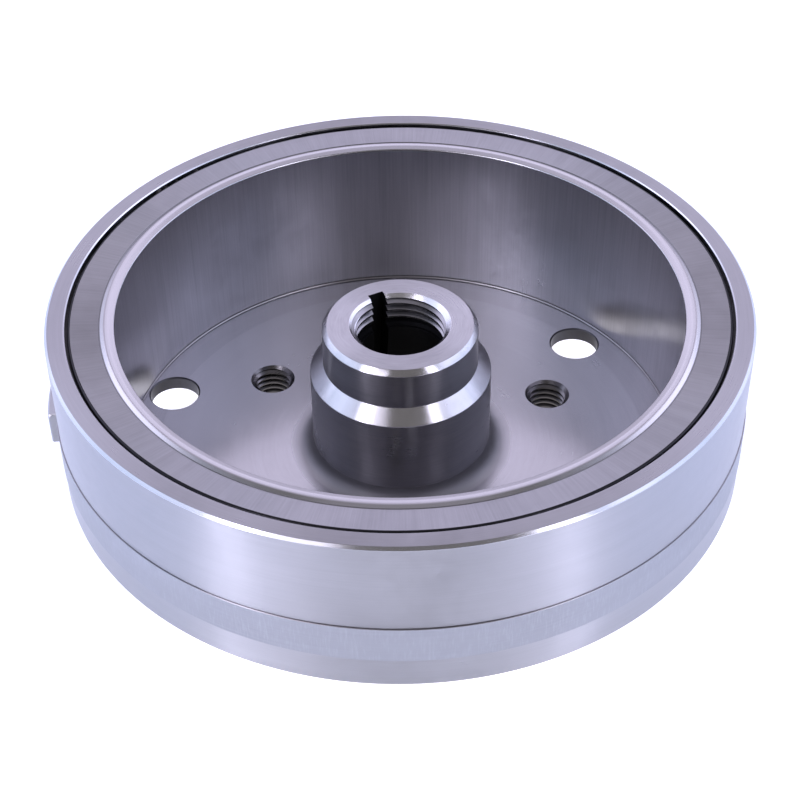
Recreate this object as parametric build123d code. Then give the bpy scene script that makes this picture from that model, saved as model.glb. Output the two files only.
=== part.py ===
from build123d import *
import os
from math import cos, radians, sin

# Outer-rotor magneto flywheel for a small engine. Millimetres.
# Origin: centre of the back face of the boss flange, on the crankshaft axis.
# +Z points out of the open side of the cup, towards the stator and the puller.

# ---- driving dimensions -------------------------------------------------

HEIGHT = 42.0            # back face of the boss flange to the rim's top face

# rotor cup: drawn steel, turned outside
CUP_BACK = 4.8           # height of the cup's outer back face
FLOOR_THICK = 3.0
CUP_FLOOR = CUP_BACK + FLOOR_THICK
RIM_R = 64.0             # upper band of the rim
RIM_TOP_CHAMFER = 0.5
BAND_R = 64.25           # proud middle band, in line with the trigger lug
BAND_TOP = 23.85
BAND_BOTTOM = 16.4
BAND_BEVEL = 0.25
SKIRT_R = 64.1           # lower band
SKIRT_BOTTOM = 10.5
CORNER_EASE = 0.35       # small flat that breaks the lower corner
WALL_R = 60.4            # inside of the rim wall
WALL_CHAMFER = 0.2

# trigger lug for the ignition pickup, in one piece with the cup
LUG_R = 65.8
LUG_BOTTOM = 17.0
LUG_TOP = BAND_TOP
LUG_START = 149.0        # degrees, anticlockwise seen from the open side
LUG_END = 189.0
LUG_EDGE = 0.3

# forged boss with its flange behind the cup's floor
FLANGE_R = 39.5
FLANGE_CHAMFER = 0.8
BOSS_LOWER_R = 17.0
BOSS_UPPER_R = 14.45
BOSS_CONE_LOW = 25.6
BOSS_CONE_HIGH = 28.1
BOSS_TOP = 36.2
BOSS_TOP_CHAMFER = 1.0
BOSS_FACE_R = 13.55

# bore through the boss
MOUTH_R = 9.42
THREAD_MINOR_R = 8.19    # M18 x 1.5 for the puller
THREAD_BOTTOM = 30.8
RELIEF_R = 9.1
RELIEF_HEIGHT = 1.6
RELIEF_CHAMFER = 0.5
TAPER_SMALL_R = 8.0
TAPER_RATE = 0.1         # radius gained per millimetre: a 1:5 taper on diameter
BORE_BACK_CHAMFER = 0.6
KEY_WIDTH = 3.0
KEY_FLOOR_R = 10.3       # keyway floor from the axis, at the boss's top face
KEY_ANGLE = 116.7

# hole patterns
TAPPED_PCD = 64.0
TAPPED_R = 3.4           # M8 tapping size
TAPPED_MOUTH_R = 4.4
TAPPED_ANGLES = (24.0, 144.0, 264.0)
PLAIN_R = 4.85
PLAIN_CHAMFER = 0.25
PLAIN_HOLES = ((46.35, 39.0), (47.75, 162.0), (47.0, 280.5))   # distance from the axis, angle

# weld fillet between the boss flange and the back of the cup
WELD_LEG = 1.8

# magnet ring
MAGNET_COUNT = 12
MAGNET_SPAN = 26.0       # degrees
MAGNET_INNER_R = 53.6
MAGNET_BOTTOM = 10.3
MAGNET_TOP = 38.3
MAGNET_FIRST = 9.0       # degrees, middle of the first magnet

# pressed magnet cover
COVER_THICK = 0.5
COVER_WALL_R = MAGNET_INNER_R - COVER_THICK
COVER_BOTTOM = 8.2
LIP_R = 51.6             # the lip stands in over the wall
LIP_TOP = 41.35
LIP_THICK = 0.6
CROWN_TOP = 41.5
CREASE_R = 54.35         # crease between the lip and the flange
CREASE_TOP = 41.15
FLAT_R = 59.0
FLAT_TOP = 41.55
TURNDOWN_R = 60.0        # the flange's turned-down outer edge
TURNDOWN_BOTTOM = 39.9

# potting over the magnets, seen in the gap beside the turned-down edge
POTTING_TOP = 40.6
POTTING_UNDER = 40.5     # under the flange, just clear of its bend

TURN = 360.0


# ---- helpers ------------------------------------------------------------

def lathe(points, arcs=None):
    """Solid of revolution about Z from an outline of (radius, height) points.

    arcs maps the index of a run to the point its arc passes through.
    """
    arcs = arcs or {}
    runs = []
    for index, start in enumerate(points):
        end = points[(index + 1) % len(points)]
        if index in arcs:
            middle = arcs[index]
            run = ThreePointArc(
                (start[0], 0, start[1]), (middle[0], 0, middle[1]), (end[0], 0, end[1])
            )
        else:
            run = Line((start[0], 0, start[1]), (end[0], 0, end[1]))
        runs.append(run)
    outline = Face(Wire(runs))
    return revolve(outline, Axis.Z, TURN)


def sector(inner, outer, low, high, middle_angle, span):
    """Block of a ring: between two radii, two heights and two radial planes."""
    section = Rot(90, 0, 0) * Rectangle(outer - inner, high - low)
    section = Pos((inner + outer) / 2, 0, (low + high) / 2) * section
    block = revolve(section, Axis.Z, span)
    return Rot(0, 0, middle_angle - span / 2) * block


def on_circle(radius, angle, height=0.0):
    """Location on a circle about Z."""
    return Pos(radius * cos(radians(angle)), radius * sin(radians(angle)), height)


def drill(radius, pcd, angles, low, high):
    """Cylinders that cut one hole at each angle of a bolt circle."""
    cutter = Cylinder(radius, high - low, align=(Align.CENTER, Align.CENTER, Align.MIN))
    return [on_circle(pcd / 2, angle, low) * cutter for angle in angles]


def countersink(small, large, pcd, angles, face, direction):
    """45 degree cones that break the mouth of each hole, at a face that looks along direction."""
    depth = large - small
    overrun = 0.2
    upright = (Align.CENTER, Align.CENTER, Align.MIN)
    if direction > 0:
        cone = Cone(small, large + overrun, depth + overrun, align=upright)
        base = face - depth
    else:
        cone = Cone(large + overrun, small, depth + overrun, align=upright)
        base = face - overrun
    return [on_circle(pcd / 2, angle, base) * cone for angle in angles]


def save(shape, name):
    shape.label = name
    export_step(shape, f"parts/{name}.step")


# ---- the pieces ---------------------------------------------------------

def rotor_cup():
    """Steel cup with its stepped outside, trigger lug and floor holes."""
    cone_inner_r = SKIRT_R - (SKIRT_BOTTOM - CUP_BACK)
    cup = lathe([
        (BOSS_LOWER_R, CUP_BACK),
        (cone_inner_r, CUP_BACK),
        (SKIRT_R - CORNER_EASE, SKIRT_BOTTOM - CORNER_EASE),
        (SKIRT_R, SKIRT_BOTTOM + CORNER_EASE),
        (SKIRT_R, BAND_BOTTOM),
        (BAND_R, BAND_BOTTOM),
        (BAND_R, BAND_TOP - BAND_BEVEL),
        (RIM_R, BAND_TOP),
        (RIM_R, HEIGHT - RIM_TOP_CHAMFER),
        (RIM_R - RIM_TOP_CHAMFER, HEIGHT),
        (WALL_R + WALL_CHAMFER, HEIGHT),
        (WALL_R, HEIGHT - WALL_CHAMFER),
        (WALL_R, CUP_FLOOR),
        (BOSS_LOWER_R, CUP_FLOOR),
    ])
    lug_span = LUG_END - LUG_START
    lug = sector(WALL_R + 1.0, LUG_R, LUG_BOTTOM, LUG_TOP, (LUG_START + LUG_END) / 2, lug_span)
    round_edges = lug.edges().filter_by(GeomType.CIRCLE)
    outer_edges = round_edges.filter_by(lambda edge: edge.radius > LUG_R - 0.01)
    lug = chamfer(outer_edges, LUG_EDGE)
    cup += lug
    cup -= drill(TAPPED_R, TAPPED_PCD, TAPPED_ANGLES, CUP_BACK - 1, CUP_FLOOR + 1)
    cup -= countersink(TAPPED_R, TAPPED_MOUTH_R, TAPPED_PCD, TAPPED_ANGLES, CUP_FLOOR, 1)
    plain_mouth = PLAIN_R + PLAIN_CHAMFER
    for distance, angle in PLAIN_HOLES:
        circle = 2 * distance
        cup -= drill(PLAIN_R, circle, [angle], CUP_BACK - 1, CUP_FLOOR + 1)
        cup -= countersink(PLAIN_R, plain_mouth, circle, [angle], CUP_FLOOR, 1)
        cup -= countersink(PLAIN_R, plain_mouth, circle, [angle], CUP_BACK, -1)
    return cup


def bore_cutter():
    """Everything the lathe takes out of the boss: puller thread core, relief and crank taper."""
    thread_top = BOSS_TOP - (MOUTH_R - THREAD_MINOR_R)
    relief_bottom = THREAD_BOTTOM - RELIEF_HEIGHT
    taper_back_r = TAPER_SMALL_R + TAPER_RATE * relief_bottom
    chamfer_r = taper_back_r - TAPER_RATE * BORE_BACK_CHAMFER
    past = 1.0
    return lathe([
        (0, -past),
        (taper_back_r + BORE_BACK_CHAMFER + past, -past),
        (taper_back_r + BORE_BACK_CHAMFER, 0),
        (chamfer_r, BORE_BACK_CHAMFER),
        (TAPER_SMALL_R, relief_bottom),
        (RELIEF_R - RELIEF_CHAMFER, relief_bottom),
        (RELIEF_R, relief_bottom + RELIEF_CHAMFER),
        (RELIEF_R, THREAD_BOTTOM),
        (THREAD_MINOR_R, THREAD_BOTTOM),
        (THREAD_MINOR_R, thread_top),
        (MOUTH_R, BOSS_TOP),
        (MOUTH_R + past, BOSS_TOP + past),
        (0, BOSS_TOP + past),
    ])


def keyway_cutter():
    """Slot whose floor runs parallel to the taper, the full length of the boss."""
    floor_back_r = KEY_FLOOR_R + TAPER_RATE * BOSS_TOP
    past = 2.0
    slope = TAPER_RATE * past
    outline = Polyline(
        (0, 0, -past),
        (floor_back_r + slope, 0, -past),
        (KEY_FLOOR_R - slope, 0, BOSS_TOP + past),
        (0, 0, BOSS_TOP + past),
        close=True,
    )
    slot = extrude(Face(Wire(outline.edges())), KEY_WIDTH / 2, dir=(0, 1, 0), both=True)
    return Rot(0, 0, KEY_ANGLE) * slot


def hub_boss():
    """Forged boss: flange behind the floor, stepped spigot, tapered keyed bore."""
    boss = lathe([
        (0, 0),
        (FLANGE_R - FLANGE_CHAMFER, 0),
        (FLANGE_R, FLANGE_CHAMFER),
        (FLANGE_R, CUP_BACK),
        (BOSS_LOWER_R, CUP_BACK),
        (BOSS_LOWER_R, BOSS_CONE_LOW),
        (BOSS_UPPER_R, BOSS_CONE_HIGH),
        (BOSS_UPPER_R, BOSS_TOP - BOSS_TOP_CHAMFER),
        (BOSS_FACE_R, BOSS_TOP),
        (0, BOSS_TOP),
    ])
    boss -= bore_cutter()
    boss -= keyway_cutter()
    boss -= drill(TAPPED_R, TAPPED_PCD, TAPPED_ANGLES, -1, CUP_BACK + 1)
    boss -= countersink(TAPPED_R, TAPPED_MOUTH_R - 0.4, TAPPED_PCD, TAPPED_ANGLES, 0, -1)
    return boss


def boss_weld():
    """Fillet of weld metal in the corner between the boss flange and the cup's back."""
    bulge = 0.62
    throat = (FLANGE_R + WELD_LEG * bulge, CUP_BACK - WELD_LEG * bulge)
    return lathe(
        [
            (FLANGE_R, CUP_BACK),
            (FLANGE_R, CUP_BACK - WELD_LEG),
            (FLANGE_R + WELD_LEG, CUP_BACK),
        ],
        arcs={1: throat},
    )


def magnet_cover():
    """Pressed stainless liner: inner wall, overhanging lip, flange and turned-down edge."""
    lip_round = LIP_THICK / 2
    lip_bottom = LIP_TOP - LIP_THICK
    crown_middle_r = (LIP_R + lip_round + CREASE_R) / 2
    turn = TURNDOWN_R - FLAT_R
    inner_turn = turn - COVER_THICK
    quarter = cos(radians(45))
    under_crease = CREASE_TOP - COVER_THICK
    return lathe(
        [
            (COVER_WALL_R, COVER_BOTTOM),
            (COVER_WALL_R, lip_bottom),
            (LIP_R + lip_round, lip_bottom),
            (LIP_R + lip_round, LIP_TOP),
            (CREASE_R, CREASE_TOP),
            (FLAT_R, FLAT_TOP),
            (TURNDOWN_R, FLAT_TOP - turn),
            (TURNDOWN_R, TURNDOWN_BOTTOM),
            (TURNDOWN_R - COVER_THICK, TURNDOWN_BOTTOM),
            (TURNDOWN_R - COVER_THICK, FLAT_TOP - turn),
            (FLAT_R, FLAT_TOP - COVER_THICK),
            (CREASE_R, under_crease),
            (MAGNET_INNER_R, under_crease),
            (MAGNET_INNER_R, COVER_BOTTOM),
        ],
        arcs={
            2: (LIP_R, LIP_TOP - lip_round),
            3: (crown_middle_r, CROWN_TOP),
            5: (FLAT_R + turn * quarter, FLAT_TOP - turn * (1 - quarter)),
            9: (FLAT_R + inner_turn * quarter, FLAT_TOP - turn + inner_turn * quarter),
        },
    )


def potting_ring():
    """Black resin over the magnets, up to the gap beside the turned-down edge."""
    edge_inner = TURNDOWN_R - COVER_THICK
    return lathe([
        (MAGNET_INNER_R, MAGNET_TOP),
        (WALL_R, MAGNET_TOP),
        (WALL_R, POTTING_TOP),
        (TURNDOWN_R, POTTING_TOP),
        (TURNDOWN_R, TURNDOWN_BOTTOM),
        (edge_inner, TURNDOWN_BOTTOM),
        (edge_inner, POTTING_UNDER),
        (MAGNET_INNER_R, POTTING_UNDER),
    ])


def magnet_seat():
    """Moulded ring on the cup's floor that the magnets stand on."""
    return lathe([
        (MAGNET_INNER_R, CUP_FLOOR),
        (WALL_R, CUP_FLOOR),
        (WALL_R, MAGNET_BOTTOM),
        (MAGNET_INNER_R, MAGNET_BOTTOM),
    ])


# ---- build and save -----------------------------------------------------

os.makedirs("parts", exist_ok=True)

save(rotor_cup(), "rotor_cup")
save(hub_boss(), "hub_boss")
save(boss_weld(), "boss_weld")
save(magnet_cover(), "magnet_cover")
save(potting_ring(), "potting_ring")
save(magnet_seat(), "magnet_seat")

pitch = TURN / MAGNET_COUNT
for number in range(MAGNET_COUNT):
    magnet_middle = MAGNET_FIRST + number * pitch
    spacer_middle = magnet_middle + pitch / 2
    magnet = sector(MAGNET_INNER_R, WALL_R, MAGNET_BOTTOM, MAGNET_TOP, magnet_middle, MAGNET_SPAN)
    gap = pitch - MAGNET_SPAN
    spacer = sector(MAGNET_INNER_R, WALL_R, MAGNET_BOTTOM, MAGNET_TOP, spacer_middle, gap)
    save(magnet, f"magnet_{number + 1:02d}")
    save(spacer, f"magnet_spacer_{number + 1:02d}")
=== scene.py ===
from math import cos, degrees, pi, radians, sin, tan

import bmesh
import bpy
from mathutils import Matrix, Vector, noise


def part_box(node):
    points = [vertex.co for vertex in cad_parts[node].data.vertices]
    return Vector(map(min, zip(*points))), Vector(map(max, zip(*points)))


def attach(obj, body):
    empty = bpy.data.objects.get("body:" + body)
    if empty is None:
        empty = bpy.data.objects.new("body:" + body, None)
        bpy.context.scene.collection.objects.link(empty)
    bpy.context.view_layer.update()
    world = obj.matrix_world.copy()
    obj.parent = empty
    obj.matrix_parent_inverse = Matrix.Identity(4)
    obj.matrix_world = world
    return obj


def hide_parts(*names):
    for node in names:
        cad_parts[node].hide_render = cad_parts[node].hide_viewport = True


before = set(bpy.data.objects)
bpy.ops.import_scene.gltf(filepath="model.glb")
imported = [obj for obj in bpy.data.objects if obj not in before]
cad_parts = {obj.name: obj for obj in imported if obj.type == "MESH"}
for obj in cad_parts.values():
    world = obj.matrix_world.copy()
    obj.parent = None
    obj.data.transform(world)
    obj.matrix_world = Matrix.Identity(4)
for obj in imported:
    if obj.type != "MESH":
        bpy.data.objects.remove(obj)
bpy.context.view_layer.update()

MM = 0.001
TURN = 2 * pi

# ---- sizes, in millimetres: the CAD model's, and the finer edges added here -

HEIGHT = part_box("rotor_cup")[1][2] / MM
CUP_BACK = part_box("rotor_cup")[0][2] / MM
BOSS_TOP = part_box("hub_boss")[1][2] / MM
FLANGE_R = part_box("hub_boss")[1][0] / MM
FLANGE_CHAMFER = 0.8

CUP_FLOOR = CUP_BACK + 3.0
RIM_R = 64.0
BAND_R = 64.25
BAND_TOP = 23.85
BAND_BOTTOM = 16.4
BAND_CHAMFER = 0.08
SKIRT_R = 64.1
SKIRT_BOTTOM = 10.5
RIM_CHAMFER = 0.5
WALL_R = 60.4
WALL_CHAMFER = 0.2

# the fine line turned between the band and the rim
LINE_R = RIM_R - 0.05
LINE_LOW = BAND_TOP + 0.04
LINE_HIGH = BAND_TOP + 0.09

# the trigger lug outside the rim, from one angle to another
LUG_R = 65.8
LUG_ROOT_R = WALL_R + 1.5
LUG_CHAMFER = 0.3
LUG_BOTTOM = 17.0
LUG_START = 149.0
LUG_END = 189.0

BOSS_LOWER_R = 17.0
BOSS_UPPER_R = 14.45
BOSS_FACE_R = 13.55
BOSS_EDGE = 1.0
BOSS_FILLET = 2.8
FILLET_R = BOSS_LOWER_R + 0.05
FILLET_TOP = CUP_FLOOR + BOSS_FILLET + 0.1
BOSS_CONE_LOW = 25.6
BOSS_CONE_HIGH = 28.1

MOUTH_R = 9.42
PULLER_MINOR_R = 8.19
PULLER_MAJOR_R = 9.0
PULLER_PITCH = 1.5
THREAD_BOTTOM = 30.8
RELIEF_R = 9.1
RELIEF_BOTTOM = THREAD_BOTTOM - 1.6
RELIEF_CHAMFER = 0.5
TAPER_SMALL_R = 8.0
TAPER_RATE = 0.1
TAPER_CHAMFER = 0.6
KEY_WIDTH = 3.0
KEY_FLOOR_R = 10.3
KEY_ANGLE = 116.7

TAPPED_PCD_R = 32.0
TAPPED_MINOR_R = 3.4
TAPPED_MAJOR_R = 4.0
TAPPED_PITCH = 1.25
TAPPED_MOUTH_R = 4.4
TAPPED_ANGLES = (24.0, 144.0, 264.0)
PLAIN_R = 4.85
PLAIN_MOUTH_R = 5.1
# distance from the axis, angle
PLAIN_HOLES = ((46.35, 39.0), (47.75, 162.0), (47.0, 280.5))

# the pressed cover's sheet is this thick
SHEET = 0.5
COVER_WALL_R = 53.1
COVER_BACK_R = 53.6
COVER_BOTTOM = 8.2

# the low step in the floor under the cover's wall
STEP_OUTER_R = COVER_BACK_R - 0.02
STEP_FOOT_R = COVER_WALL_R - 0.2
STEP_TOP = CUP_FLOOR + 0.22

LIP_R = 51.6
LIP_BOTTOM = 40.75
BEAD_TOP = 41.5
BEAD_INNER_R = LIP_R + 1.1
BEAD_OUTER_R = LIP_R + 1.9
CREASE_R = 54.35
CREASE_TOP = 41.15
FLAT_R = 59.5
FLAT_TOP = 41.55
TURNDOWN_R = 60.0
TURNDOWN_BOTTOM = 39.9
POTTING_TOP = 40.6
POTTING_BOTTOM = 38.3

LATHE_STEPS = 360


# ---- outlines -------------------------------------------------------------

def rounded(corners, steps=4):
    """Closed outline of (radius, height, slot) from corners of (radius, height, rounding, slot).

    slot is the material slot of the run that leaves the corner.
    """
    points = []
    count = len(corners)
    for index, (r, z, rounding, slot) in enumerate(corners):
        before = corners[index - 1]
        after = corners[(index + 1) % count]
        here = Vector((r, z))
        if rounding <= 0:
            points.append((r, z, slot))
            continue
        to_before = (Vector(before[:2]) - here).normalized()
        to_after = (Vector(after[:2]) - here).normalized()
        half = to_before.angle(to_after) / 2
        reach = rounding / tan(half)
        centre = here + (to_before + to_after).normalized() * (rounding / sin(half))
        start = here + to_before * reach - centre
        sweep = start.angle_signed(here + to_after * reach - centre)
        for step in range(steps + 1):
            spoke = start.copy()
            spoke.rotate(Matrix.Rotation(-sweep * step / steps, 2))
            point = centre + spoke
            points.append((point.x, point.y, slot))
    return points


# ---- meshes ---------------------------------------------------------------

def new_object(name, vertices, faces, slots, materials):
    """Object in millimetres turned to metres, with outward normals."""
    mesh = bpy.data.meshes.new(name)
    mesh.from_pydata([(x * MM, y * MM, z * MM) for x, y, z in vertices], [], faces)
    mesh.polygons.foreach_set("material_index", slots)
    for material in materials:
        mesh.materials.append(material)
    obj = bpy.data.objects.new(name, mesh)
    bpy.context.scene.collection.objects.link(obj)
    tidy = bmesh.new()
    tidy.from_mesh(mesh)
    bmesh.ops.recalc_face_normals(tidy, faces=tidy.faces)
    tidy.to_mesh(mesh)
    tidy.free()
    return obj


def lathe(name, outline, materials, steps=LATHE_STEPS, wobble=None, centre=(0.0, 0.0)):
    """Closed ring turned about a vertical axis. An outline point on the axis closes to a pole.

    wobble(angle, r, z) may move an outline point a little, to (r, z).
    """
    vertices = []
    rows = []
    for r, z, slot in outline:
        if r < 1e-6:
            rows.append([len(vertices)] * steps)
            vertices.append((centre[0], centre[1], z))
            continue
        row = []
        for step in range(steps):
            angle = TURN * step / steps
            radius, height = wobble(angle, r, z) if wobble else (r, z)
            row.append(len(vertices))
            vertices.append((centre[0] + radius * cos(angle), centre[1] + radius * sin(angle), height))
        rows.append(row)
    faces = []
    slots = []
    for index, row in enumerate(rows):
        nearby = rows[(index + 1) % len(rows)]
        if row[0] == row[1] and nearby[0] == nearby[1]:
            continue
        for step in range(steps):
            following = (step + 1) % steps
            corners = [row[step], row[following], nearby[following], nearby[step]]
            face = [v for place, v in enumerate(corners) if v not in corners[:place]]
            faces.append(face)
            slots.append(outline[index][2])
    return new_object(name, vertices, faces, slots, materials)


def sector(name, section, start, end, steps, materials, end_chamfer=0.0):
    """Block swept from one angle to another, with a closed (r, z) section and chamfered ends."""
    middle_r = sum(r for r, z in section) / len(section)
    middle_z = sum(z for r, z in section) / len(section)
    stations = [(start, end_chamfer)]
    inset = degrees(end_chamfer / middle_r)
    for step in range(steps + 1):
        stations.append((start + inset + (end - start - 2 * inset) * step / steps, 0.0))
    stations.append((end, end_chamfer))
    vertices = []
    for angle, shrink in stations:
        for r, z in section:
            r += shrink if r < middle_r else -shrink
            z += shrink if z < middle_z else -shrink
            vertices.append((r * cos(radians(angle)), r * sin(radians(angle)), z))
    count = len(section)
    faces = [list(range(count)), list(range(len(vertices) - count, len(vertices)))]
    for station in range(len(stations) - 1):
        near = station * count
        far = near + count
        for corner in range(count):
            following = (corner + 1) % count
            faces.append([near + corner, near + following, far + following, far + corner])
    return new_object(name, vertices, faces, [0] * len(faces), materials)


def thread_groove(name, minor_r, major_r, pitch, low, high, centre, materials, slot, steps=56):
    """Helical wire with the section of an internal thread's groove, to cut from a bore."""
    open_r = minor_r - 0.03
    half_mouth = 0.39 * pitch
    half_root = 0.07 * pitch
    section = (
        (open_r, -half_mouth),
        (major_r, -half_root),
        (major_r, half_root),
        (open_r, half_mouth),
    )
    count = int(steps * (high - low) / pitch)
    vertices = []
    for step in range(count + 1):
        angle = TURN * step / steps
        climb = low + pitch * step / steps
        for r, z in section:
            vertices.append((centre[0] + r * cos(angle), centre[1] + r * sin(angle), climb + z))
    faces = [[0, 1, 2, 3], [len(vertices) - 4 + corner for corner in range(4)]]
    for step in range(count):
        near = step * 4
        far = near + 4
        for corner in range(4):
            following = (corner + 1) % 4
            faces.append([near + corner, near + following, far + following, far + corner])
    return new_object(name, vertices, faces, [slot] * len(faces), materials)


def carve(target, cutter, operation="DIFFERENCE"):
    """Exact boolean of cutter into target; the cutter is removed."""
    modifier = target.modifiers.new("carve", "BOOLEAN")
    modifier.operation = operation
    modifier.solver = "EXACT"
    modifier.object = cutter
    bpy.context.view_layer.update()
    evaluated = target.evaluated_get(bpy.context.evaluated_depsgraph_get())
    carved = bpy.data.meshes.new_from_object(evaluated)
    target.modifiers.clear()
    target.data = carved
    bpy.data.objects.remove(cutter)


def clean_cuts(obj, reach=2.0e-7):
    """Closes up the slivers that the cuts leave behind."""
    cut = bmesh.new()
    cut.from_mesh(obj.data)
    bmesh.ops.remove_doubles(cut, verts=cut.verts, dist=reach)
    bmesh.ops.dissolve_degenerate(cut, edges=cut.edges, dist=reach)
    bmesh.ops.triangulate(cut, faces=[face for face in cut.faces if len(face.verts) > 4])
    bmesh.ops.dissolve_degenerate(cut, edges=cut.edges, dist=reach)
    cut.to_mesh(obj.data)
    cut.free()


def finish_shading(obj, sharp_angle=30.0):
    """Smooth shading that keeps sharp edges and flat faces flat."""
    mesh = obj.data
    mesh.polygons.foreach_set("use_smooth", [True] * len(mesh.polygons))
    mesh.set_sharp_from_angle(angle=radians(sharp_angle))
    modifier = obj.modifiers.new("weighted_normals", "WEIGHTED_NORMAL")
    modifier.keep_sharp = True


def publish(obj, slot, *nodes):
    """The piece rides on the flywheel's one body and stands for the CAD nodes."""
    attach(obj, "root")
    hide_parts(*nodes)


# ---- materials ------------------------------------------------------------

class Graph:
    """One node material, built up call by call, with r, cos and sin of the place about the axis."""

    def __init__(self, name):
        self.material = bpy.data.materials.new(name)
        self.material.use_nodes = True
        self.tree = self.material.node_tree
        self.shader = self.tree.nodes["Principled BSDF"]
        place = self.node("ShaderNodeTexCoord").outputs["Object"]
        split = self.node("ShaderNodeSeparateXYZ", Vector=place)
        self.place = place
        self.x, self.y, self.z = (split.outputs[axis] for axis in "XYZ")
        squares = [self.math("MULTIPLY", side, side) for side in (self.x, self.y)]
        self.r = self.math("SQRT", self.math("ADD", *squares))
        self.cos = self.math("DIVIDE", self.x, self.r)
        self.sin = self.math("DIVIDE", self.y, self.r)

    def node(self, kind, settings=None, **inputs):
        made = self.tree.nodes.new(kind)
        for key, value in (settings or {}).items():
            setattr(made, key, value)
        for key, value in inputs.items():
            self.feed(made.inputs[key.replace("_", " ")], value)
        return made

    def feed(self, socket, value):
        if isinstance(value, bpy.types.NodeSocket):
            self.tree.links.new(value, socket)
        else:
            socket.default_value = value

    def math(self, operation, first, second=None):
        made = self.tree.nodes.new("ShaderNodeMath")
        made.operation = operation
        self.feed(made.inputs[0], first)
        if second is not None:
            self.feed(made.inputs[1], second)
        return made.outputs[0]

    def streaks(self, across, along, round_and_round, seed, detail=3.0):
        """Noise drawn out into lines about the axis, or along it.

        across and along are in lines per metre.
        """
        level = self.math("ADD", self.z, self.r)
        if round_and_round:
            ring, rise = along, across
        else:
            ring, rise = across, along
        turn = 0.05 * ring
        vector = self.node(
            "ShaderNodeCombineXYZ",
            X=self.math("MULTIPLY", self.cos, turn),
            Y=self.math("MULTIPLY", self.sin, turn),
            Z=self.math("ADD", self.math("MULTIPLY", level, rise), seed),
        )
        made = self.node(
            "ShaderNodeTexNoise",
            Vector=vector.outputs[0], Scale=1.0, Detail=detail, Roughness=0.6,
        )
        return made.outputs["Fac"]

    def mottle(self, scale, seed, detail=4.0):
        """Cloudy noise, scale in cells per metre."""
        moved = self.node("ShaderNodeVectorMath", {"operation": "ADD"})
        self.feed(moved.inputs[0], self.place)
        moved.inputs[1].default_value = (seed, 0.37 * seed, 0.71 * seed)
        made = self.node(
            "ShaderNodeTexNoise",
            Vector=moved.outputs[0], Scale=scale, Detail=detail, Roughness=0.55,
        )
        return made.outputs["Fac"]

    def remap(self, value, low, high, to_low, to_high):
        made = self.node(
            "ShaderNodeMapRange",
            Value=value, From_Min=low, From_Max=high, To_Min=to_low, To_Max=to_high,
        )
        return made.outputs[0]

    def mix(self, share, first, second):
        made = self.node("ShaderNodeMix", {"data_type": "RGBA"})
        self.feed(made.inputs[0], share)
        self.feed(made.inputs[6], first)
        self.feed(made.inputs[7], second)
        return made.outputs[2]

    def bump(self, height, distance):
        made = self.node("ShaderNodeBump", Height=height, Distance=distance, Strength=1.0)
        return made.outputs[0]


# Tones of a finish: its darkest and lightest marks, and the painted shade at a boss's foot.
DARK_TONE = 0.62
LIGHT_TONE = 1.38
FOOT_PAINTED_SHADE_TONE = 0.15

# The ring of painted shade near a wall and the boss's foot, with widths in metres and the rest as shares.
RING_SHADE_BLUR = 0.0001
RING_PAINTED_SHADE = 0.12
FOOT_WIDTH = 0.0042
FOOT_PAINTED_SHADE_SHARE = 0.45
DULL_START = 0.001
DULL_END = 0.0046
FOOT_DULLING = 0.28


def tint(colour, factor):
    """Colour with alpha, made lighter or darker."""
    return tuple(min(1.0, channel * factor) for channel in colour) + (1.0,)


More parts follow.
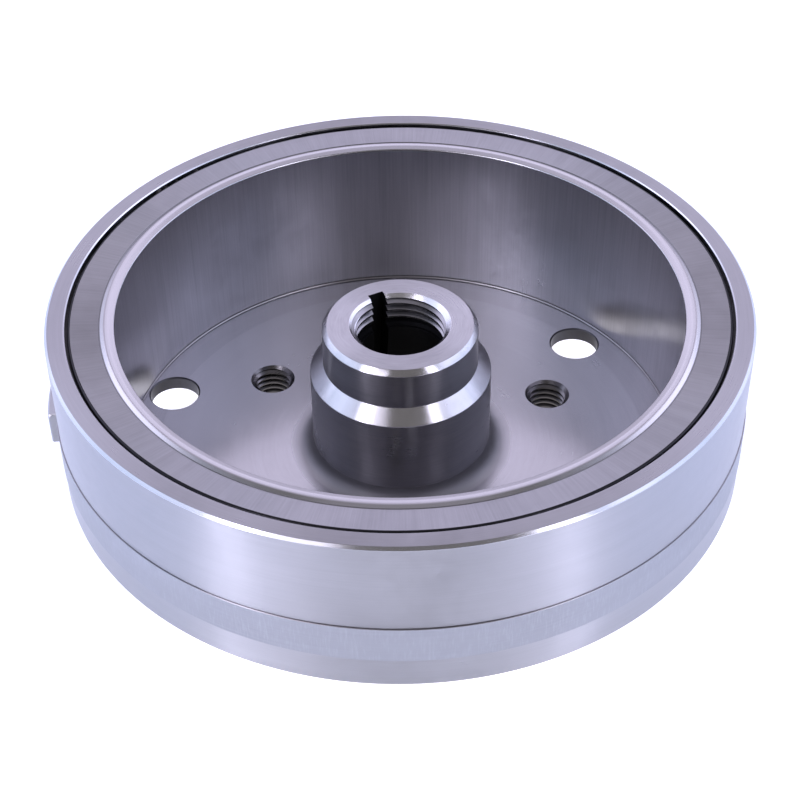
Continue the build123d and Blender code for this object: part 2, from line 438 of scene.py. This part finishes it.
def steel(name, colour, roughness, lines="round", anisotropy=0.6, pitch=5000.0, depth=2.0e-6,
          contrast=0.10, clouds=0.06, rough_swing=0.06, seed=1.0, scratches=0.0, shade_ring_r=0.0,
          foot_r=0.0):
    """Bare machined steel. lines is round for turning marks and straight for brushing along r or z.

    Beyond the ring radius given, the colour is painted a little darker, as shade near a wall.
    Towards foot_r, where a boss stands, it fades to a painted dark shade and turns dull.
    """
    g = Graph(name)
    turned = lines == "round"
    fine = g.streaks(pitch, pitch / 60, turned, seed)
    broad = g.streaks(pitch / 9, pitch / 220, turned, seed + 40.0, 2.0)
    cloud = g.mottle(55.0, seed)
    smear = g.mottle(420.0, seed + 3.0, 2.0)
    marks = g.math("ADD", g.math("MULTIPLY", fine, 0.6), g.math("MULTIPLY", broad, 0.4))
    shade = g.math(
        "ADD",
        g.remap(marks, 0.3, 0.7, -contrast, contrast),
        g.remap(cloud, 0.3, 0.7, -clouds, clouds),
    )
    height = marks
    if scratches > 0:
        nicks = g.streaks(pitch, pitch / 11, not turned, seed + 80.0, 2.0)
        shade = g.math("ADD", shade, g.remap(nicks, 0.5, 0.75, 0.0, 0.2 * scratches))
        height = g.math("ADD", marks, g.math("MULTIPLY", nicks, scratches))
    share = g.math("ADD", shade, 0.5)
    # Painted shade: the colour is a little darker beyond the ring radius given, as near a wall.
    if shade_ring_r > 0:
        darker = g.remap(g.r, shade_ring_r - RING_SHADE_BLUR, shade_ring_r + RING_SHADE_BLUR, 0.0, -RING_PAINTED_SHADE)
        share = g.math("ADD", share, darker)
    colours = g.mix(share, tint(colour, DARK_TONE), tint(colour, LIGHT_TONE))
    # Painted shade: the colour fades dark towards the boss's foot.
    if foot_r > 0:
        foot = g.remap(g.r, foot_r, foot_r + FOOT_WIDTH, FOOT_PAINTED_SHADE_SHARE, 0.0)
        colours = g.mix(foot, colours, tint(colour, FOOT_PAINTED_SHADE_TONE))
    g.feed(g.shader.inputs["Base Color"], colours)
    half_swing = 0.5 * rough_swing
    uneven = g.math(
        "ADD",
        g.remap(cloud, 0.3, 0.7, -rough_swing, rough_swing),
        g.remap(marks, 0.3, 0.7, -half_swing, half_swing),
    )
    uneven = g.math("ADD", uneven, g.remap(smear, 0.4, 0.7, 0.0, half_swing))
    if foot_r > 0:
        dulled = g.remap(g.r, foot_r + DULL_START, foot_r + DULL_END, FOOT_DULLING, 0.0)
        uneven = g.math("ADD", uneven, dulled)
    g.feed(g.shader.inputs["Roughness"], g.math("ADD", uneven, roughness))
    g.feed(g.shader.inputs["Normal"], g.bump(height, depth))
    g.shader.inputs["Metallic"].default_value = 1.0
    g.shader.inputs["Anisotropic"].default_value = anisotropy
    g.shader.inputs["Anisotropic Rotation"].default_value = 0.25 if turned else 0.0
    tangent = g.node("ShaderNodeTangent", {"direction_type": "RADIAL", "axis": "Z"})
    g.feed(g.shader.inputs["Tangent"], tangent.outputs[0])
    return g.material


def dull(name, dark, light, roughness, grain, depth, seed=5.0):
    """Resin, moulded plastic or sintered ferrite: matt, with a grain."""
    g = Graph(name)
    cloud = g.mottle(grain / 6, seed)
    fine = g.mottle(grain, seed + 2.0)
    both = g.math("ADD", g.math("MULTIPLY", cloud, 0.5), g.math("MULTIPLY", fine, 0.5))
    share = g.remap(both, 0.35, 0.65, 0.0, 1.0)
    g.feed(g.shader.inputs["Base Color"], g.mix(share, dark + (1.0,), light + (1.0,)))
    g.feed(g.shader.inputs["Roughness"], g.remap(both, 0.3, 0.7, roughness - 0.1, roughness + 0.1))
    g.feed(g.shader.inputs["Normal"], g.bump(fine, depth))
    return g.material


rim_steel = steel("rim_turned", (0.40, 0.40, 0.42), 0.35, anisotropy=0.95, pitch=5200.0,
                  contrast=0.07, clouds=0.03, seed=2.0)
edge_steel = steel("edge_turned", (0.50, 0.50, 0.53), 0.19, anisotropy=0.75, pitch=6500.0,
                   contrast=0.04, clouds=0.02, seed=5.0)
face_steel = steel("rim_face", (0.29, 0.288, 0.305), 0.32, anisotropy=0.92, pitch=6500.0, depth=6.0e-7,
                   contrast=0.10, clouds=0.03, seed=9.0)
band_steel = steel("band_ground", (0.35, 0.36, 0.39), 0.44, anisotropy=0.4, pitch=4200.0,
                   contrast=0.08, scratches=0.8, seed=14.0)
# Painted shade on the floor: a dark fade round the boss's foot, from 17 mm out.
# Painted shade on the floor: a slightly darker ring beyond 47.2 mm, near the cover's wall.
floor_steel = steel("floor_turned", (0.335, 0.33, 0.342), 0.24, anisotropy=0.5, pitch=2600.0,
                    depth=3.0e-7, contrast=0.07, clouds=0.05, rough_swing=0.03, seed=21.0, shade_ring_r=0.0472,
                    foot_r=0.017)
# Painted shade: dark steel on the tapped holes' walls.
hole_shade_steel = steel("hole_wall_painted_shade", (0.13, 0.125, 0.13), 0.26, anisotropy=0.3, pitch=4200.0, seed=26.0)
# Painted shade: very dark steel on the plain holes' walls.
drilled_shade_steel = steel("hole_drilled_painted_shade", (0.07, 0.069, 0.075), 0.40, anisotropy=0.0, pitch=4200.0, seed=27.0)
ledge_steel = steel("ledge_turned", (0.28, 0.27, 0.28), 0.36, pitch=4200.0, depth=5.0e-7, seed=28.0)
back_steel = steel("cup_back", (0.46, 0.45, 0.48), 0.38, anisotropy=0.5, pitch=2400.0,
                   contrast=0.13, seed=31.0)
boss_steel = steel("boss_turned", (0.255, 0.25, 0.265), 0.30, anisotropy=0.96, pitch=4800.0,
                   depth=1.5e-7, contrast=0.12, clouds=0.03, rough_swing=0.03, seed=36.0)
cone_steel = steel("cone_turned", (0.50, 0.49, 0.51), 0.22, anisotropy=0.7, pitch=5600.0,
                   depth=6.0e-7, contrast=0.15, clouds=0.03, seed=38.0)
hub_face_steel = steel("hub_faced", (0.32, 0.317, 0.335), 0.30, anisotropy=0.88, pitch=5200.0,
                       contrast=0.20, clouds=0.03, seed=39.0)
thread_steel = steel("thread_cut", (0.60, 0.59, 0.62), 0.22, anisotropy=0.3, pitch=5200.0, seed=41.0)
# Painted shade: a darker copy of the thread steel on the puller thread's flanks.
flank_shade_steel = steel("thread_flank_painted_shade", (0.26, 0.255, 0.27), 0.28, anisotropy=0.3, pitch=5200.0, seed=43.0)
# Painted shade: near-black steel in the deep bore, its relief and the keyway.
bore_shade_steel = steel("bore_painted_shade", (0.010, 0.010, 0.011), 0.65, anisotropy=0.4, pitch=5200.0, seed=45.0)
flange_steel = steel("flange_brushed", (0.28, 0.278, 0.293), 0.42, lines="straight", anisotropy=0.85,
                     pitch=5200.0, contrast=0.16, clouds=0.03, seed=51.0)
# Painted reflection: near-black steel on the cover's turned-down bend, for the dark it reflects.
bend_dark_reflection_steel = steel("bend_painted_reflection", (0.022, 0.022, 0.024), 0.30, anisotropy=0.5, pitch=5200.0,
                   contrast=0.06, clouds=0.03, seed=54.0)
lip_steel = steel("lip_polished", (0.40, 0.395, 0.41), 0.24, anisotropy=0.0, pitch=1400.0,
                  depth=2.0e-8, contrast=0.05, clouds=0.05, rough_swing=0.02, seed=56.0)
# Painted shade: darker steel in the crease beside the lip.
crease_shade_steel = steel("crease_painted_shade", (0.17, 0.168, 0.175), 0.34, pitch=5200.0, depth=2.0e-7, seed=58.0)
liner_steel = steel("liner_drawn", (0.44, 0.435, 0.465), 0.34, lines="straight", anisotropy=0.85,
                    pitch=3000.0, depth=5.0e-7, contrast=0.18, clouds=0.05, seed=61.0)
weld_steel = steel("weld_bead", (0.20, 0.19, 0.19), 0.48, anisotropy=0.0, pitch=1500.0,
                   contrast=0.2, clouds=0.2, seed=66.0)
resin = dull("black_resin", (0.008, 0.008, 0.009), (0.05, 0.045, 0.04), 0.55, 2600.0, 4.0e-5)
moulding = dull("moulded_black", (0.012, 0.012, 0.013), (0.03, 0.03, 0.03), 0.6, 3500.0, 1.0e-5, 8.0)
ferrite = dull("sintered_ferrite", (0.035, 0.036, 0.038), (0.075, 0.075, 0.078),
               0.62, 5000.0, 1.0e-5, 11.0)


# ---- the rotor cup --------------------------------------------------------

def hole_cutter(name, pcd_r, angle, radius, mouths, low, high, materials, slot):
    """Round cutter for one hole. mouths are (face height, mouth radius, way the face looks).

    low and high end the cutter on a side that has no mouth.
    """
    centre = (pcd_r * cos(radians(angle)), pcd_r * sin(radians(angle)))
    past = 0.5
    outline = []
    bottoms = [mouth for mouth in mouths if mouth[2] < 0]
    tops = [mouth for mouth in mouths if mouth[2] > 0]
    if bottoms:
        face, mouth_r, _ = bottoms[0]
        outline += [(mouth_r + past, face - past, slot), (radius, face + mouth_r - radius, slot)]
    else:
        outline.append((radius, low, slot))
    if tops:
        face, mouth_r, _ = tops[0]
        outline += [(radius, face - mouth_r + radius, slot), (mouth_r + past, face + past, slot)]
    else:
        outline.append((radius, high, slot))
    outline.append((0.0, outline[-1][1], slot))
    outline.append((0.0, outline[0][1], slot))
    return lathe(name, outline, materials, 96, centre=centre)


def tapped_hole(target, angle, low, high, mouths, materials, slot):
    """Drills one hole, breaks its mouths and cuts the thread."""
    drill = hole_cutter("drill", TAPPED_PCD_R, angle, TAPPED_MINOR_R, mouths, low, high, materials, slot)
    carve(target, drill)
    centre = (TAPPED_PCD_R * cos(radians(angle)), TAPPED_PCD_R * sin(radians(angle)))
    tap = thread_groove(
        "tap", TAPPED_MINOR_R, TAPPED_MAJOR_R, TAPPED_PITCH, -2.0, CUP_FLOOR + 2.0,
        centre, materials, slot,
    )
    carve(target, tap)


def make_cup():
    """Skirt, band, rim, floor and trigger lug in one piece, drilled and tapped."""
    side, face, band, floor, hole, back, edge, ledge, drilled = range(9)
    materials = [rim_steel, face_steel, band_steel, floor_steel, hole_shade_steel, back_steel, edge_steel,
                 ledge_steel, drilled_shade_steel]
    cone_r = SKIRT_R - (SKIRT_BOTTOM - CUP_BACK)
    outline = rounded([
        (BOSS_LOWER_R, CUP_BACK, 0.0, back),
        (cone_r, CUP_BACK, 0.8, back),
        (SKIRT_R, SKIRT_BOTTOM, 0.6, side),
        (SKIRT_R, BAND_BOTTOM, 0.03, band),
        (BAND_R, BAND_BOTTOM, 0.05, band),
        (BAND_R, BAND_TOP - BAND_CHAMFER, 0.03, ledge),
        (BAND_R - BAND_CHAMFER, BAND_TOP, 0.0, ledge),
        (LINE_R, BAND_TOP, 0.0, ledge),
        (LINE_R, LINE_LOW, 0.0, ledge),
        (RIM_R, LINE_HIGH, 0.02, side),
        (RIM_R, HEIGHT - RIM_CHAMFER, 0.12, edge),
        (RIM_R - RIM_CHAMFER, HEIGHT, 0.12, face),
        (WALL_R + WALL_CHAMFER, HEIGHT, 0.05, edge),
        (WALL_R, HEIGHT - WALL_CHAMFER, 0.05, edge),
        (WALL_R, CUP_FLOOR, 0.0, floor),
        (STEP_OUTER_R, CUP_FLOOR, 0.0, floor),
        (STEP_OUTER_R, STEP_TOP, 0.0, ledge),
        (COVER_WALL_R, STEP_TOP, 0.05, ledge),
        (STEP_FOOT_R, CUP_FLOOR, 0.0, floor),
        (FILLET_R, CUP_FLOOR, BOSS_FILLET, floor),
        (FILLET_R, FILLET_TOP, 0.0, floor),
        (BOSS_LOWER_R, FILLET_TOP, 0.0, floor),
    ], 8)
    cup = lathe("rotor_cup_visual", outline, materials)
    section = (
        (LUG_ROOT_R, LUG_BOTTOM),
        (LUG_R - LUG_CHAMFER, LUG_BOTTOM),
        (LUG_R, LUG_BOTTOM + LUG_CHAMFER),
        (LUG_R, BAND_TOP - LUG_CHAMFER),
        (LUG_R - LUG_CHAMFER, BAND_TOP),
        (LUG_ROOT_R, BAND_TOP),
    )
    lug = sector("lug", section, LUG_START, LUG_END, 60, materials, 0.25)
    carve(cup, lug, "UNION")
    for distance, angle in PLAIN_HOLES:
        mouths = [(CUP_FLOOR, PLAIN_MOUTH_R, 1), (CUP_BACK, PLAIN_MOUTH_R, -1)]
        drill = hole_cutter("drill", distance, angle, PLAIN_R, mouths, 0, 0, materials, drilled)
        carve(cup, drill)
    for angle in TAPPED_ANGLES:
        tapped_hole(cup, angle, CUP_BACK - 1, 0, [(CUP_FLOOR, TAPPED_MOUTH_R, 1)], materials, hole)
    clean_cuts(cup)
    finish_shading(cup)
    publish(cup, "turned_steel", "rotor_cup")


# ---- the boss -------------------------------------------------------------

def make_boss():
    """Flange and stepped boss, with the puller thread, relief, taper bore and keyway."""
    side, face, hole, bore, thread, back, edge, groove = range(8)
    materials = [boss_steel, hub_face_steel, hole_shade_steel, bore_shade_steel, thread_steel, back_steel, cone_steel,
                 flank_shade_steel]
    taper_back_r = TAPER_SMALL_R + TAPER_RATE * RELIEF_BOTTOM
    outline = rounded([
        (taper_back_r + TAPER_CHAMFER, 0.0, 0.05, back),
        (FLANGE_R - FLANGE_CHAMFER, 0.0, 0.15, back),
        (FLANGE_R, FLANGE_CHAMFER, 0.15, back),
        (FLANGE_R, CUP_BACK, 0.0, back),
        (BOSS_LOWER_R, CUP_BACK, 0.0, side),
        (BOSS_LOWER_R, BOSS_CONE_LOW, 0.25, edge),
        (BOSS_UPPER_R, BOSS_CONE_HIGH, 0.25, side),
        (BOSS_UPPER_R, BOSS_TOP - BOSS_EDGE, 0.2, edge),
        (BOSS_FACE_R, BOSS_TOP, 0.12, face),
        (MOUTH_R, BOSS_TOP, 0.08, thread),
        (PULLER_MINOR_R, BOSS_TOP - MOUTH_R + PULLER_MINOR_R, 0.0, thread),
        (PULLER_MINOR_R, THREAD_BOTTOM, 0.05, bore),
        (RELIEF_R, THREAD_BOTTOM, 0.0, bore),
        (RELIEF_R, RELIEF_BOTTOM + RELIEF_CHAMFER, 0.1, bore),
        (RELIEF_R - RELIEF_CHAMFER, RELIEF_BOTTOM, 0.0, bore),
        (TAPER_SMALL_R, RELIEF_BOTTOM, 0.1, bore),
        (taper_back_r - TAPER_RATE * TAPER_CHAMFER, TAPER_CHAMFER, 0.05, bore),
    ])
    boss = lathe("hub_boss_visual", outline, materials, 256)
    tap = thread_groove(
        "tap", PULLER_MINOR_R, PULLER_MAJOR_R, PULLER_PITCH, THREAD_BOTTOM - 0.4, BOSS_TOP + 1.0,
        (0.0, 0.0), materials, groove, 96,
    )
    carve(boss, tap)
    carve(boss, keyway_cutter(materials, bore))
    for angle in TAPPED_ANGLES:
        tapped_hole(boss, angle, 0, CUP_BACK + 1, [(0.0, TAPPED_MOUTH_R - 0.4, -1)], materials, hole)
    clean_cuts(boss)
    finish_shading(boss)
    publish(boss, "machined_boss", "hub_boss")


def keyway_cutter(materials, slot):
    """Tapered slot: its floor runs parallel to the crank taper."""
    past = 2.0
    half = KEY_WIDTH / 2
    vertices = []
    for z in (-past, BOSS_TOP + past):
        floor_r = KEY_FLOOR_R + TAPER_RATE * (BOSS_TOP - z)
        vertices += [(0.0, -half, z), (floor_r, -half, z), (floor_r, half, z), (0.0, half, z)]
    turned = Matrix.Rotation(radians(KEY_ANGLE), 3, "Z")
    vertices = [tuple(turned @ Vector(v)) for v in vertices]
    faces = [[0, 1, 2, 3], [4, 5, 6, 7], [0, 1, 5, 4], [1, 2, 6, 5], [2, 3, 7, 6], [3, 0, 4, 7]]
    return new_object("slot", vertices, faces, [slot] * 6, materials)


def make_weld():
    """Weld fillet with the ripples of its run."""
    leg = 1.8
    ripples = 130
    depth = 0.10

    def ripple(angle, r, z):
        swell = depth * abs(sin(angle * ripples / 2)) - depth
        on_face = r > FLANGE_R + 0.05 and z < CUP_BACK - 0.05
        return (r + swell, z - swell) if on_face else (r, z)

    outline = [(FLANGE_R, CUP_BACK, 0), (FLANGE_R, CUP_BACK - leg, 0)]
    for step in range(1, 8):
        angle = radians(90 * step / 8)
        reach = leg * (0.62 + 0.38 * abs(cos(2 * angle)))
        outline.append((FLANGE_R + reach * sin(angle), CUP_BACK - reach * cos(angle), 0))
    outline.append((FLANGE_R + leg, CUP_BACK, 0))
    weld = lathe("boss_weld_visual", outline, [weld_steel], 780, ripple)
    finish_shading(weld, 50.0)
    publish(weld, "weld_metal", "boss_weld")


# ---- the magnet ring's cover ----------------------------------------------

def make_cover():
    """Pressed cover: wall, rolled lip, crease, brushed flange and turned-down edge."""
    wall, lip, flange, bend, crease = range(5)
    materials = [liner_steel, lip_steel, flange_steel, bend_dark_reflection_steel, crease_shade_steel]
    under = CREASE_TOP - SHEET
    outline = rounded([
        (COVER_BACK_R, COVER_BOTTOM, 0.1, wall),
        (COVER_WALL_R, COVER_BOTTOM, 0.1, wall),
        (COVER_WALL_R, LIP_BOTTOM, 0.5, lip),
        (LIP_R, LIP_BOTTOM, 0.25, lip),
        (LIP_R, BEAD_TOP - 0.35, 0.28, lip),
        (BEAD_INNER_R, BEAD_TOP, 1.6, lip),
        (BEAD_OUTER_R, BEAD_TOP, 1.0, lip),
        (CREASE_R - 0.15, CREASE_TOP, 0.3, crease),
        (CREASE_R, CREASE_TOP - 0.08, 0.05, crease),
        (CREASE_R + 0.12, CREASE_TOP + 0.02, 0.05, flange),
        (TURNDOWN_R, FLAT_TOP, TURNDOWN_R - FLAT_R, bend),
        (TURNDOWN_R, TURNDOWN_BOTTOM, 0.05, flange),
        (TURNDOWN_R - SHEET, TURNDOWN_BOTTOM, 0.05, flange),
        (TURNDOWN_R - SHEET, FLAT_TOP - SHEET, 0.5, flange),
        (CREASE_R, under, 0.0, wall),
        (COVER_BACK_R, under, 0.0, wall),
    ], 8)
    cover = lathe("magnet_cover_visual", outline, materials)
    finish_shading(cover)
    publish(cover, "pressed_stainless", "magnet_cover")


def make_potting():
    """Resin ring whose top in the gap is uneven, as poured, with a few crumbs standing up."""
    # angle, height, half its length along the gap
    crumbs = (
        (130.8, 0.6, 0.3),
        (132.2, 0.9, 0.4),
        (137.0, 0.6, 0.3),
        (140.0, 0.8, 0.35),
        (141.7, 1.1, 0.6),
        (225.4, 0.9, 0.3),
    )

    def poured(angle, r, z):
        if z < POTTING_TOP - 0.02:
            return r, z
        place = Vector((cos(angle), sin(angle), 0.0))
        waves = 0.25 * noise.noise(place * 9.0)
        grain = 0.12 * noise.noise(place * 60.0)
        rise = max(-0.25, min(0.3, waves + grain)) - 0.3
        for middle, height, width in crumbs:
            along = (angle - radians(middle)) * r / width
            rise = max(rise, height * (1.0 - along * along))
        return r, z + rise

    edge_r = TURNDOWN_R - SHEET
    outline = [
        (COVER_BACK_R, POTTING_BOTTOM, 0),
        (WALL_R, POTTING_BOTTOM, 0),
        (WALL_R, POTTING_TOP, 0),
        (WALL_R - 0.13, POTTING_TOP, 0),
        (TURNDOWN_R + 0.13, POTTING_TOP, 0),
        (TURNDOWN_R, POTTING_TOP, 0),
        (TURNDOWN_R, TURNDOWN_BOTTOM, 0),
        (edge_r, TURNDOWN_BOTTOM, 0),
        (edge_r, POTTING_TOP - 0.1, 0),
        (COVER_BACK_R, POTTING_TOP - 0.1, 0),
    ]
    potting = lathe("potting_visual", outline, [resin], 720, poured)
    finish_shading(potting, 40.0)
    publish(potting, "black_resin", "potting_ring")


make_cup()
make_boss()
make_weld()
make_cover()
make_potting()

for node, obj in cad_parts.items():
    if node.startswith("magnet_spacer") or node == "magnet_seat":
        finish = moulding
    elif node.startswith("magnet_") and node != "magnet_cover":
        finish = ferrite
    else:
        continue
    for place in obj.material_slots:
        place.material = finish


# ---- stage, light and camera ----------------------------------------------

def gradient(tree, value, low, high, either_side=False):
    """Smooth step of a value from low to high, or of its distance from 0."""
    if either_side:
        distance = tree.nodes.new("ShaderNodeMath")
        distance.operation = "ABSOLUTE"
        tree.links.new(value, distance.inputs[0])
        value = distance.outputs[0]
    step = tree.nodes.new("ShaderNodeMapRange")
    step.interpolation_type = "SMOOTHSTEP"
    step.inputs["From Min"].default_value = low
    step.inputs["From Max"].default_value = high
    tree.links.new(value, step.inputs["Value"])
    return step.outputs[0]


def blend(tree, share, first, second, way="MIX"):
    """Colour node; first and second are colours or sockets."""
    made = tree.nodes.new("ShaderNodeMix")
    made.data_type = "RGBA"
    made.blend_type = way
    tree.links.new(share, made.inputs[0])
    for socket, colour in ((made.inputs[6], first), (made.inputs[7], second)):
        if isinstance(colour, tuple):
            socket.default_value = colour + (1.0,)
        else:
            tree.links.new(colour, socket)
    return made.outputs[2]


def make_floor():
    """Pale floor that glows under the flywheel, more weakly around it, and bluer to the sides."""
    half = 3.0
    mesh = bpy.data.meshes.new("floor")
    corners = [(-half, -half, 0), (half, -half, 0), (half, half, 0), (-half, half, 0)]
    mesh.from_pydata(corners, [], [[0, 1, 2, 3]])
    floor = bpy.data.objects.new("floor", mesh)
    bpy.context.scene.collection.objects.link(floor)
    material = bpy.data.materials.new("pale_floor")
    material.use_nodes = True
    tree = material.node_tree
    shader = tree.nodes["Principled BSDF"]
    shader.inputs["Base Color"].default_value = (0.74, 0.77, 0.84, 1.0)
    shader.inputs["Roughness"].default_value = 0.7
    place = tree.nodes.new("ShaderNodeTexCoord").outputs["Object"]
    split = tree.nodes.new("ShaderNodeSeparateXYZ")
    tree.links.new(place, split.inputs[0])
    aside = gradient(tree, split.outputs["X"], 0.02, 0.16, True)
    glow = blend(tree, aside, (0.87, 0.83, 0.82), (0.56, 0.735, 1.2))
    tree.links.new(glow, shader.inputs["Emission Color"])
    across = tree.nodes.new("ShaderNodeVectorMath")
    across.operation = "LENGTH"
    tree.links.new(place, across.inputs[0])
    apart = gradient(tree, across.outputs["Value"], 0.056, 0.066)
    strength = tree.nodes.new("ShaderNodeMapRange")
    strength.inputs["To Min"].default_value = 1.0
    strength.inputs["To Max"].default_value = 0.48
    tree.links.new(apart, strength.inputs["Value"])
    tree.links.new(strength.outputs[0], shader.inputs["Emission Strength"])
    mesh.materials.append(material)


def softbox(name, azimuth, elevation, size, brightness, colour=(1.0, 1.0, 1.0), distance=0.9):
    """Area light aimed at the flywheel. Azimuth 0 is the camera's side, and positive to its right."""
    light = bpy.data.lights.new(name, "AREA")
    light.shape = "RECTANGLE"
    light.size, light.size_y = size
    light.energy = brightness * pi * light.size * light.size_y
    light.color = colour
    lamp = bpy.data.objects.new(name, light)
    level = cos(radians(elevation))
    away = Vector((
        sin(radians(azimuth)) * level,
        -cos(radians(azimuth)) * level,
        sin(radians(elevation)),
    ))
    middle = Vector((0.0, 0.0, 0.02))
    lamp.location = middle + away * distance
    lamp.rotation_euler = away.to_track_quat("Z", "Y").to_euler()
    bpy.context.scene.collection.objects.link(lamp)


def make_world():
    """Soft room light, dim in front and brighter behind and beside the flywheel."""
    world = bpy.data.worlds.new("studio")
    world.use_nodes = True
    tree = world.node_tree
    split = tree.nodes.new("ShaderNodeSeparateXYZ")
    tree.links.new(tree.nodes.new("ShaderNodeTexCoord").outputs["Generated"], split.inputs[0])
    behind = gradient(tree, split.outputs["Y"], 0.0, 0.8)
    beside = gradient(tree, split.outputs["X"], 0.4, 0.95, True)
    room = blend(tree, behind, (0.255, 0.245, 0.245), (1.04, 0.985, 1.27))
    room = blend(tree, beside, room, (0.90, 1.09, 1.55), "ADD")
    tree.links.new(room, tree.nodes["Background"].inputs["Color"])
    bpy.context.scene.world = world


def make_camera():
    """Looks at the crank axis from the front, 40 degrees down, with a slight roll."""
    camera = bpy.data.cameras.new("camera")
    camera.sensor_width = 36.0
    camera.lens = 77.92
    obj = bpy.data.objects.new("camera", camera)
    eye = Vector((0.0, -0.2518, 0.2312))
    aim = Vector((-0.0002, 0.0, 0.0177))
    roll = Matrix.Rotation(radians(-0.77), 3, "Z")
    facing = (eye - aim).to_track_quat("Z", "Y").to_matrix() @ roll
    obj.matrix_world = Matrix.Translation(eye) @ facing.to_4x4()
    bpy.context.scene.collection.objects.link(obj)
    bpy.context.scene.camera = obj


DAYLIGHT = (0.86, 0.83, 1.0)
SKY = (0.82, 0.775, 1.0)
PANEL = (0.5, 0.35)
STRIP = (0.12, 0.8)

make_floor()
make_world()
softbox("left_strip", -48.0, 26.0, STRIP, 7.2, DAYLIGHT, 0.8)
softbox("right_strip", 47.0, 26.0, STRIP, 6.0, DAYLIGHT, 0.8)
softbox("left_low", -40.0, 12.0, PANEL, 2.9, DAYLIGHT)
softbox("right_low", 40.0, 12.0, PANEL, 2.35, DAYLIGHT)
softbox("left_key", -40.0, 38.0, PANEL, 2.4, DAYLIGHT)
softbox("left_side", -80.0, 38.0, PANEL, 0.4, SKY)
softbox("right_side", 80.0, 38.0, PANEL, 1.1, SKY)
softbox("left_back", -120.0, 38.0, PANEL, 1.7, SKY)
softbox("right_back", 120.0, 38.0, PANEL, 1.7, SKY)
softbox("back", 180.0, 38.0, PANEL, 0.85, SKY)
softbox("high_back", 180.0, 64.0, PANEL, 0.35, SKY)
softbox("top", 180.0, 88.0, (0.5, 0.5), 0.37, SKY)
make_camera()
bpy.context.scene.view_settings.view_transform = "Standard"

bpy.context.view_layer.update()
